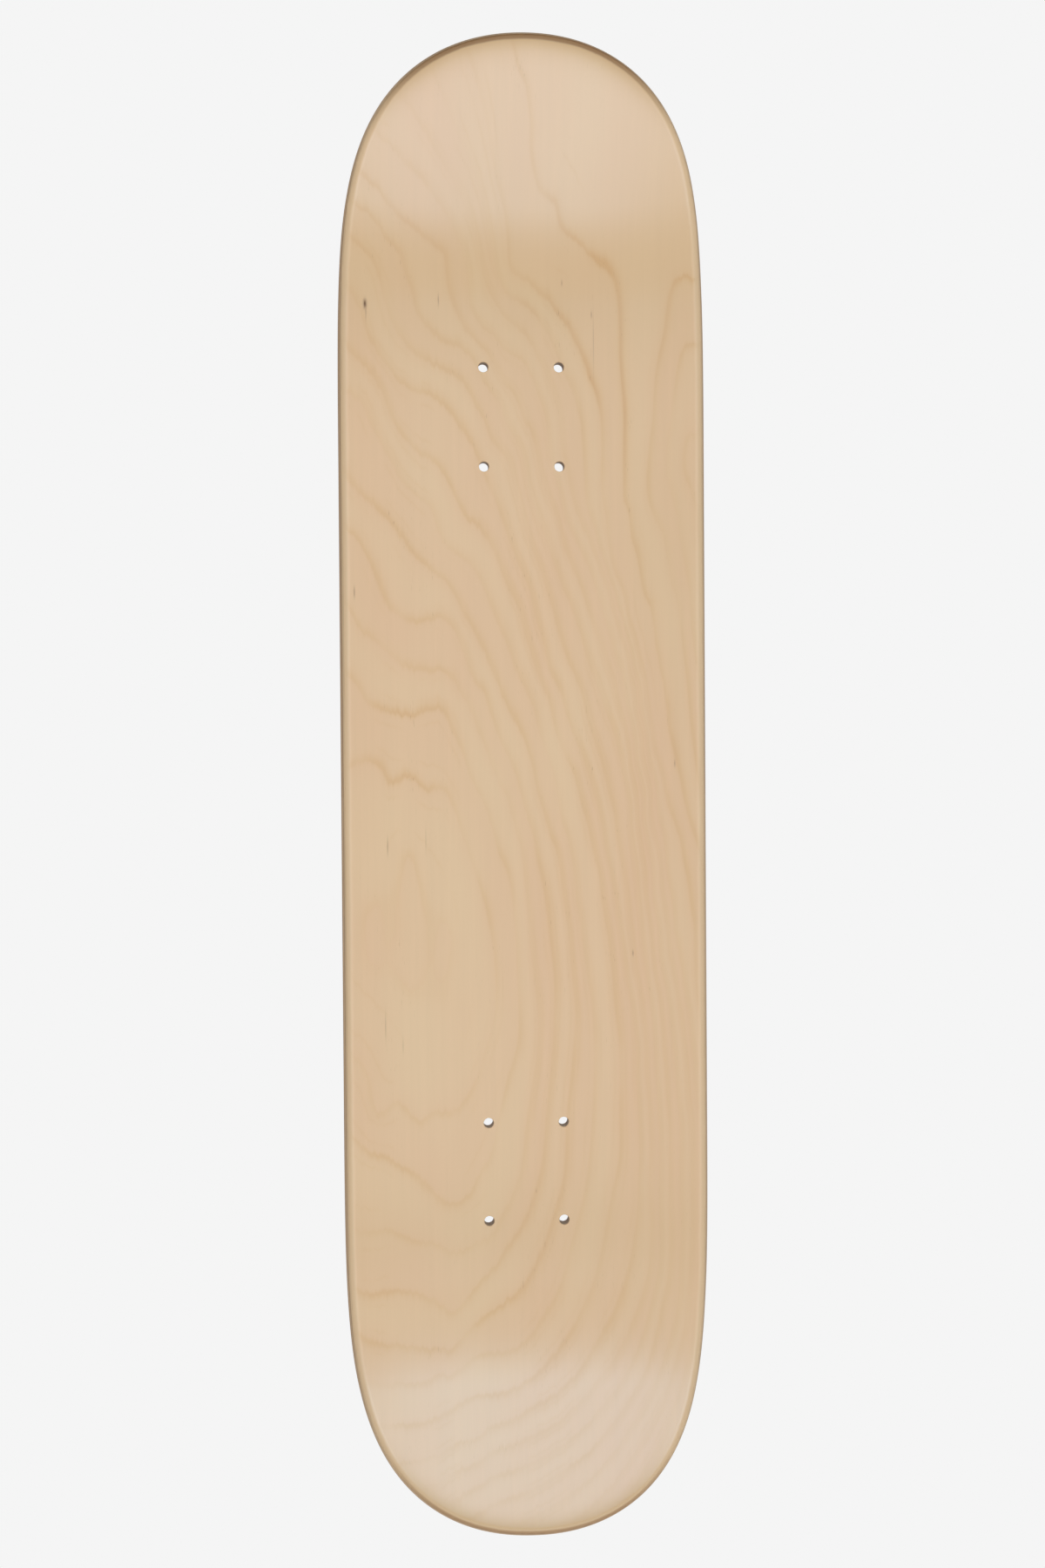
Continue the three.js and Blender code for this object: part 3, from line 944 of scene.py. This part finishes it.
def sanded_edge():
    """Where the rail has turned from the face, where it has turned to the side, and where it is end grain,
    which shows sooner and fuller at the nose than at the tail as painted shade
    """
    def build(given):
        _, along, height = split(given["Place"])
        depth = calc("MINIMUM", height, given["Deck Thickness"] - height)
        turned = calc("ARCCOSINE", 1.0 - clamp(depth / given["Roundover"])) / (math.pi / 2.0)
        uneven = turned + (noise(given["Place"], "sanded rail") - 0.5) * given["Raggedness"]
        at_nose = calc("GREATER_THAN", along, 0.0)
        # Painted shade: the end grain shows sooner and fuller at the nose, whose end gets less light, than
        # at the tail
        cut = ramp(uneven - blend(given["Tail Cut Start"], given["Nose Cut Start"], at_nose), *CUT_TURN)
        fibres = ramp(blend(1.0 - given["End Grain"], given["End Grain"], given["Along"]), *CUT_FIBRES)
        end = cut * fibres * blend(given["Tail Cut"], 1.0, at_nose)
        return ramp(uneven, *WALL_TURN), ramp(turned, *PAINTED_LIGHT_SIDE_TURN), end
    inputs = {
        "Place": None, "Deck Thickness": 0.0111, "Roundover": 0.0035, "End Grain": 0.0, "Along": 1.0,
        "Raggedness": 0.10, "Nose Cut Start": 0.10, "Tail Cut Start": 0.26, "Tail Cut": 0.75,
    }
    return make_group("Sanded Edge", inputs, ["Wall", "Side", "End"], build)


# Painted shade where the board bends up into the kicks, which makes it look browner there: place along it
# and half length in millimetres, and how much
PAINTED_SHADE_BENDS = [
    (288.0, 52.0, 1.0),
    (-242.0, 32.0, 0.55),
]
KICKS = (0.275, 0.335)  # Where the kicks begin and are full, from the middle of the board
TIPS = (0.35, 0.90)  # How far the outline faces along the board where a tip begins and is full
# The pale line along the rim: partly where sanding rubbed the face pale, partly a painted highlight where
# the rounding of the rail begins
RUBBED_AND_HIGHLIGHT_LINE = (2.0, 2.8, 3.4, 4.4)  # Where it begins, is full, leaves off and ends, millimetres from the rim


def kick_rim():
    """Shades that follow the shape of a face veneer: a pale line along its rim, partly where sanding has
    rubbed it pale and partly a painted highlight where the rounding begins, a browner matt border round the
    two tips, partly the wood's own and partly painted shade where the rims of the tips turn from the light,
    painted shade over the bends of the kicks, and the kicks themselves"""
    def build(given):
        _, along, _ = split(given["Place"])
        at_nose = calc("GREATER_THAN", along, 0.0)
        uneven = (noise(given["Place"], "sanded rim") - 0.5) * given["Raggedness"]
        inside = given["Rim Distance"] * MILLIMETRES + uneven
        tip = ramp(given["End Grain"], *TIPS)
        # Pale line along the rim: partly sanded wood, partly painted highlight
        rubbed = soft_span(inside, *RUBBED_AND_HIGHLIGHT_LINE) * (1.0 - tip)
        # The border round the two tips: a browner, matt rim, partly the wood's own and partly painted shade
        # where the rims of the tips turn from the light, stronger at the nose
        soft = inside / blend(given["Tail Border"], given["Nose Border"], at_nose)
        tight = inside / given["Tight Border"]
        shares = (1.0 - given["Tight Share"], given["Tight Share"])
        border = fall_off(soft * soft) * shares[0] + fall_off(tight * tight) * shares[1]
        border = tip * border * blend(given["Tail Strength"], 1.0, at_nose)
        # Painted shade over the bends of the kicks
        browner = 0.0
        for middle, half_length, strength in PAINTED_SHADE_BENDS:
            away = (along * MILLIMETRES - middle) / half_length
            browner = browner + fall_off(away * away) * strength
        return rubbed, border, browner, ramp(calc("ABSOLUTE", along), *KICKS)
    inputs = {
        "Place": None, "Rim Distance": 0.01, "End Grain": 0.0, "Raggedness": 1.6, "Nose Border": 12.0,
        "Tail Border": 9.0, "Tight Border": 6.0, "Tight Share": 0.66, "Tail Strength": 0.85,
    }
    return make_group("Kick Rim", inputs, ["Rubbed", "Border", "Bend", "Kick"], build)


def fleck():
    """One dark fleck along the grain, round a place on the top face"""
    def build(given):
        x, y, height = split(given["Place"])
        ragged = (noise(given["Place"], "fleck edge") - 0.5) * given["Raggedness"]
        across = (x * MILLIMETRES - given["Across"]) / given["Half Width"] + ragged
        along = (y * MILLIMETRES - given["Along"]) / given["Half Length"]
        spot = fall_off(across * across + along * along)
        return (spot * given["Darkness"] * calc("GREATER_THAN", height, given["Above"]),)
    inputs = {
        "Place": None, "Across": 0.0, "Along": 0.0, "Half Width": 0.6, "Half Length": 3.0, "Darkness": 1.0,
        "Raggedness": 0.7, "Above": 0.008,
    }
    return make_group("Maple Fleck", inputs, ["Fleck"], build)


FLECKS = [
    # Across and along from the middle, half width and half length in millimetres, and how dark
    (-87.5, 266.8, 0.9, 2.4, 1.0),
    (-87.0, 264.0, 0.4, 5.0, 0.35),
    (-45.5, 270.0, 0.3, 3.4, 0.40),
    (-95.0, 111.0, 0.4, 3.0, 0.45),
    (-77.0, -27.0, 0.35, 4.6, 0.40),
    (-79.0, -125.0, 0.3, 7.0, 0.28),
    (22.5, 280.0, 0.3, 1.6, 0.35),
    (39.0, 262.0, 0.35, 1.8, 0.35),
    (40.0, 247.0, 0.25, 14.0, 0.25),
    (60.5, -87.0, 0.4, 1.6, 0.40),
    (85.0, 17.0, 0.35, 1.8, 0.35),
    (-55.0, -24.0, 0.3, 6.0, 0.18),
    (-69.0, -136.0, 0.3, 4.0, 0.20),
]


# The relief of the grain, in which the fibres stand up, and the lines and flecks lie lower
GRAIN_DEPTH = 0.00001
FACE_RELIEF = {"Fine": 0.5, "Broad": 0.5, "Line": 0.4, "Fleck": 2.0}
EDGE_RELIEF = 2.0

FACE_ROUGHNESS = 0.29  # Satin lacquer
EDGE_ROUGHNESS = 0.48  # Sanded edge
FACE_UNEVENNESS = 0.03  # How much the roughness varies along the fibres
EDGE_UNEVENNESS = 0.1
WALL_MATT = 0.18  # How much rougher a face veneer is where its edge is rounded
BORDER_MATT = 0.20  # And in the border round the tips

# The tone of a face veneer: how far it leans to pink, and how much the bands of the years show on the flat
# and in the kicks
PINK_LEAN = 0.005
BAND_SHARES = (0.45, 0.2)
MOST_HAZE = 1.8

# How much each mask of a face veneer covers, where it is full
COVER = {
    "Haze": 0.37,
    "Line": 0.56,
    "Minor": 0.17,
    "Ticks": 0.15,
    "Ticks In Haze": 0.6,
    "Bend": 0.32,
    "Border": 0.95,
    "Rubbed": 0.14,
    "Wall": 0.85,
    "Side": 0.50,
    "End": 0.85,
}


def edge_masks(tree, place, along):
    """The masks of the sanded edge, for a veneer whose grain runs along the board or across it"""
    sizes = bpy.context.scene.deck_sizes
    return use_group(
        tree, sanded_edge(), place=place, deck_thickness=sizes.deck_thickness,
        roundover=sizes.rail_roundover, end_grain=attribute(tree, END_GRAIN), along=float(along),
    )


def streaked(wood, fibre, broad, fine):
    """A wood's colour, brighter and darker along its fibres"""
    streak = (fibre["Broad"] - 0.5) * broad + (fibre["Fine"] - 0.5) * fine
    bright = add(wood.tree, "ShaderNodeHueSaturation", {"Color": wood, "Value": 1.0 + streak})
    return Term(wood.tree, bright.outputs[0])


def finish_material(material, wood, roughness, height):
    """Puts the wood's colour, gloss and relief in the material's shader"""
    tree = material.node_tree
    shader = add(tree, "ShaderNodeBsdfPrincipled", {"Base Color": wood, "Roughness": roughness})
    relief = add(tree, "ShaderNodeBump", {"Height": height, "Strength": 1.0, "Distance": 1.0})
    plug(tree, relief.outputs[0], shader.inputs["Normal"])
    plug(tree, shader.outputs[0], add(tree, "ShaderNodeOutputMaterial").inputs["Surface"])
    lay_out(tree)
    return material


def face_maple():
    """Lacquered maple of the two face veneers"""
    colours = bpy.context.scene.maple_colours
    material = new_material("face_maple")
    tree = material.node_tree
    place = attribute(tree, PLACE, "Vector")
    fibre = use_group(tree, maple_fibre(), grain_place=place)
    rings = use_group(
        tree, growth_rings(), place=place, year=attribute(tree, YEAR),
        year_width=attribute(tree, YEAR_WIDTH), year_slope=attribute(tree, YEAR_SLOPE),
        darkness=attribute(tree, LINE_DARKNESS),
    )
    edge = edge_masks(tree, place, along=True)
    rim = use_group(
        tree, kick_rim(), place=place, rim_distance=attribute(tree, RIM_DISTANCE),
        end_grain=attribute(tree, END_GRAIN),
    )
    spots = None
    for across, along, half_width, half_length, darkness in FLECKS:
        spot = use_group(
            tree, fleck(), place=place, across=across, along=along, half_width=half_width,
            half_length=half_length, darkness=darkness,
        )["Fleck"]
        spots = spot if spots is None else calc("MAXIMUM", spots, spot)

    band = (rings["Band"] - 0.5) * blend(*BAND_SHARES, rim["Kick"])
    wood = layered(colours.pale, [
        (clamp(PINK_LEAN + band + fibre["Cloud"]), colours.pink),
        (clamp(rings["Haze"], 0.0, MOST_HAZE) * COVER["Haze"], colours.line),
        (clamp(rings["Line"] * COVER["Line"]), colours.line),
        (rings["Minor"] * COVER["Minor"], colours.line),
    ])
    wood = layered(streaked(wood, fibre, broad=0.06, fine=0.03), [
        (fibre["Ticks"] * (COVER["Ticks"] + rings["Haze"] * COVER["Ticks In Haze"]), colours.crossband),
        # Painted shade over the bends of the kicks, in the border colour
        (rim["Bend"] * COVER["Bend"], colours.border),
        # Border round the tips: partly browner wood, partly painted shade
        (rim["Border"] * COVER["Border"], colours.border),
        (attribute(tree, STAIN), colours.border),
        # Pale line along the rim: partly sanded wood, partly painted highlight
        (rim["Rubbed"] * COVER["Rubbed"], colours.rubbed),
        (edge["Wall"] * COVER["Wall"], colours.edge),
        # Painted light: the sides of the rails laid paler in the rubbed colour
        (edge["Side"] * COVER["Side"], colours.rubbed),
        # End grain, darker at the nose by painted shade
        (edge["End"] * COVER["End"], colours.crossband),
        (spots, colours.fleck),
    ])
    uneven = (fibre["Broad"] - 0.5) * FACE_UNEVENNESS
    roughness = FACE_ROUGHNESS + uneven + edge["Wall"] * WALL_MATT + rim["Border"] * BORDER_MATT
    grain = fibre["Fine"] * FACE_RELIEF["Fine"] + fibre["Broad"] * FACE_RELIEF["Broad"]
    grain = grain - rings["Line"] * FACE_RELIEF["Line"] - spots * FACE_RELIEF["Fleck"]
    return finish_material(material, wood, roughness, grain * GRAIN_DEPTH)


def edge_maple(name, along, cut):
    """Sanded edge of an inner veneer, whose grain runs along the board or across it"""
    colours = bpy.context.scene.maple_colours
    material = new_material(name)
    tree = material.node_tree
    place = attribute(tree, PLACE, "Vector")
    x, y, z = split(place)
    fibre = use_group(tree, maple_fibre(), grain_place=place if along else join(tree, y, x, z))
    edge = edge_masks(tree, place, along)
    wood = layered(colours.core, [(edge["End"] * cut, colours.crossband)])
    wood = streaked(wood, fibre, broad=0.5, fine=0.35)
    roughness = EDGE_ROUGHNESS + (fibre["Broad"] - 0.5) * EDGE_UNEVENNESS
    grain = (fibre["Fine"] + fibre["Broad"]) * EDGE_RELIEF
    return finish_material(material, wood, roughness, grain * GRAIN_DEPTH)


# The operators, one for each kind of ply and one for the stage


class DECK_OT_face_plies(bpy.types.Operator):
    """Presses the two face veneers"""

    bl_idname = "deck.face_plies"
    bl_label = "Face Veneers"

    def execute(self, context):
        material = face_maple()
        top = press_ply("top_face_ply", material)
        draw_growth(top, drawn_place(points_of(top)), np.ones(2))
        bottom = press_ply("bottom_face_ply", material)
        under_places = points_of(bottom)[:, :2] * MILLIMETRES * UNDERSIDE_TURN + UNDERSIDE_SHIFT
        draw_growth(bottom, under_places, UNDERSIDE_TURN)
        return {"FINISHED"}


class DECK_OT_core_plies(bpy.types.Operator):
    """Presses the three core veneers, whose grain runs along the board"""

    bl_idname = "deck.core_plies"
    bl_label = "Core Veneers"

    def execute(self, context):
        material = edge_maple("core_maple", along=True, cut=0.95)
        for name in ("lower_core_ply", "centre_core_ply", "upper_core_ply"):
            press_ply(name, material)
        return {"FINISHED"}


class DECK_OT_crossband_plies(bpy.types.Operator):
    """Presses the two crossband veneers, whose grain runs across the board"""

    bl_idname = "deck.crossband_plies"
    bl_label = "Crossband Veneers"

    def execute(self, context):
        material = edge_maple("crossband_maple", along=False, cut=0.75)
        for name in ("lower_crossband_ply", "upper_crossband_ply"):
            press_ply(name, material)
        return {"FINISHED"}


# The stage


def floor_material(tint):
    """A pale floor that gives out its own colour, so that no light greys it, and that is clear from below"""
    material = new_material("pale_floor")
    tree = material.node_tree
    glow = add(tree, "ShaderNodeEmission", {"Color": tint})
    clear = add(tree, "ShaderNodeBsdfTransparent")
    behind = add(tree, "ShaderNodeNewGeometry").outputs["Backfacing"]
    mix = add(tree, "ShaderNodeMixShader", {0: behind, 1: glow.outputs[0], 2: clear.outputs[0]})
    plug(tree, mix.outputs[0], add(tree, "ShaderNodeOutputMaterial").inputs["Surface"])
    lay_out(tree)
    return material


LIGHTS = [
    # Name, place, the point that it faces, width and height, and power in watts
    ("nose_kick_softbox", (0.75, -3.27, 6.0), (0.0, 0.36, 0.0), (2.4, 1.2), 20.0),
    ("tail_kick_softbox", (0.46, 2.86, 6.0), (0.0, -0.36, 0.0), (2.6, 1.2), 20.0),
]
COOL_TINT = (0.52, 0.77, 1.0)
FLOOR_DROP = 0.0005  # The floor lies a little lower than the belly
DOME = (0.715, 0.76, 0.50)  # Strength overhead, at the horizon and from below
DOME_SPREAD = (0.6, -0.4)  # How high and how low the horizon's strength has passed into the others
DOME_LEAN = (0.06, -0.38)  # The horizon is brighter towards the tail, and a little to the right
LOWEST_SILK = 0.05
SILKS = [
    # Where a silk begins, reaches and leaves full strength, and ends, across and then along, in metres per
    # metre of height, and its strength: the silk seen in the nose kick, and the one seen in the tail kick
    ((-0.55, 0.12, 0.38, 0.60), (-1.00, -0.72, -0.66, -0.15), 3.8),
    ((-0.48, -0.26, 0.36, 0.58), (0.10, 0.64, 0.72, 0.95), 5.2),
]
ZENITH_GLOW = 0.25
ZENITH_BAND = (0.06, 0.20)  # Where the glow starts to fade and ends, along, in metres per metre of height
ZENITH_RISE = (0.85, 0.95)  # How high it begins and is full


def soft_dome():
    """A cool studio dome, dimmer from below, with a faint glow straight overhead and two bright silks"""
    world = bpy.data.worlds.new("soft_studio")
    world.use_nodes = True
    tree = world.node_tree
    tree.nodes.clear()
    right, ahead, up = split(Term(tree, add(tree, "ShaderNodeTexCoord").outputs["Generated"]))
    overhead, horizon, below = DOME
    lean = (right * DOME_LEAN[0] + ahead * DOME_LEAN[1]) * (1.0 - calc("ABSOLUTE", up))
    high, low = DOME_SPREAD
    plain = ramp(up, 0.0, high, horizon, overhead) + ramp(up, low, 0.0, below - horizon, 0.0) + lean
    height = calc("MAXIMUM", up, LOWEST_SILK)
    across, along = right / height, ahead / height
    zenith = (1.0 - ramp(calc("ABSOLUTE", along), *ZENITH_BAND)) * ramp(up, *ZENITH_RISE)
    plain = plain + zenith * ZENITH_GLOW
    silk = 0.0
    for across_ends, along_ends, strength in SILKS:
        silk = silk + soft_span(across, *across_ends) * soft_span(along, *along_ends) * strength
    light = join(tree, *(plain + silk * part for part in COOL_TINT))
    background = add(tree, "ShaderNodeBackground", {"Color": light, "Strength": 1.0})
    plug(tree, background.outputs[0], add(tree, "ShaderNodeOutputWorld").inputs["Surface"])
    lay_out(tree)
    return world


class DECK_OT_stage(bpy.types.Operator):
    """Sets the floor, the soft lights and the camera"""

    bl_idname = "deck.stage"
    bl_label = "Stage"

    def execute(self, context):
        scene = context.scene
        stage = scene.deck_stage
        half = stage.floor_size / 2.0
        corners = [(x * half, y * half, -FLOOR_DROP) for x, y in ((-1, -1), (1, -1), (1, 1), (-1, 1))]
        mesh = bpy.data.meshes.new("floor")
        mesh.from_pydata(corners, [], [(0, 1, 2, 3)])
        mesh.materials.append(floor_material(stage.floor_colour))
        floor = bpy.data.objects.new("floor", mesh)
        scene.collection.objects.link(floor)
        floor.visible_diffuse = False
        floor.visible_glossy = False
        floor.visible_shadow = False
        floor.visible_transmission = False

        for name, place, target, size, power in LIGHTS:
            light = bpy.data.lights.new(name, "AREA")
            light.shape = "RECTANGLE"
            light.size, light.size_y = size
            light.energy = power
            light.color = COOL_TINT
            lamp = bpy.data.objects.new(name, light)
            lamp.matrix_world = aimed(place, target, (0.0, 1.0, 0.0))
            scene.collection.objects.link(lamp)

        scene.world = soft_dome()

        camera = bpy.data.objects.new("camera", bpy.data.cameras.new("camera"))
        camera.data.lens = stage.lens
        camera.data.clip_start = 0.01
        camera.matrix_world = aimed(stage.camera_place, stage.camera_aim, leaning(stage.camera_roll))
        scene.collection.objects.link(camera)
        scene.camera = camera
        scene.view_settings.view_transform = "Standard"
        return {"FINISHED"}


class DECK_PT_panel(bpy.types.Panel):
    """Lists the steps that make the deck, and its sizes and colours"""

    bl_label = "Skateboard Deck"
    bl_idname = "DECK_PT_panel"
    bl_space_type = "VIEW_3D"
    bl_region_type = "UI"
    bl_category = "Deck"

    def draw(self, context):
        layout = self.layout
        for step in STEPS:
            layout.operator(step.bl_idname)
        for name in GROUPS:
            group = getattr(context.scene, name)
            box = layout.box()
            for prop in type(group).bl_rna.properties:
                if not prop.is_readonly and prop.identifier != "name":
                    box.prop(group, prop.identifier)


GROUPS = {
    "deck_sizes": DeckSizes,
    "deck_mesh": DeckMesh,
    "maple_colours": MapleColours,
    "deck_stage": StageSettings,
}
STEPS = (DECK_OT_face_plies, DECK_OT_core_plies, DECK_OT_crossband_plies, DECK_OT_stage)
CLASSES = (*GROUPS.values(), *STEPS, DECK_PT_panel)


def register():
    for cls in CLASSES:
        bpy.utils.register_class(cls)
    for name, group in GROUPS.items():
        setattr(bpy.types.Scene, name, PointerProperty(type=group))


def unregister():
    for name in GROUPS:
        delattr(bpy.types.Scene, name)
    for cls in reversed(CLASSES):
        bpy.utils.unregister_class(cls)


def main():
    register()
    bpy.ops.deck.face_plies()
    bpy.ops.deck.core_plies()
    bpy.ops.deck.crossband_plies()
    bpy.ops.deck.stage()


if __name__ == "__main__":
    main()
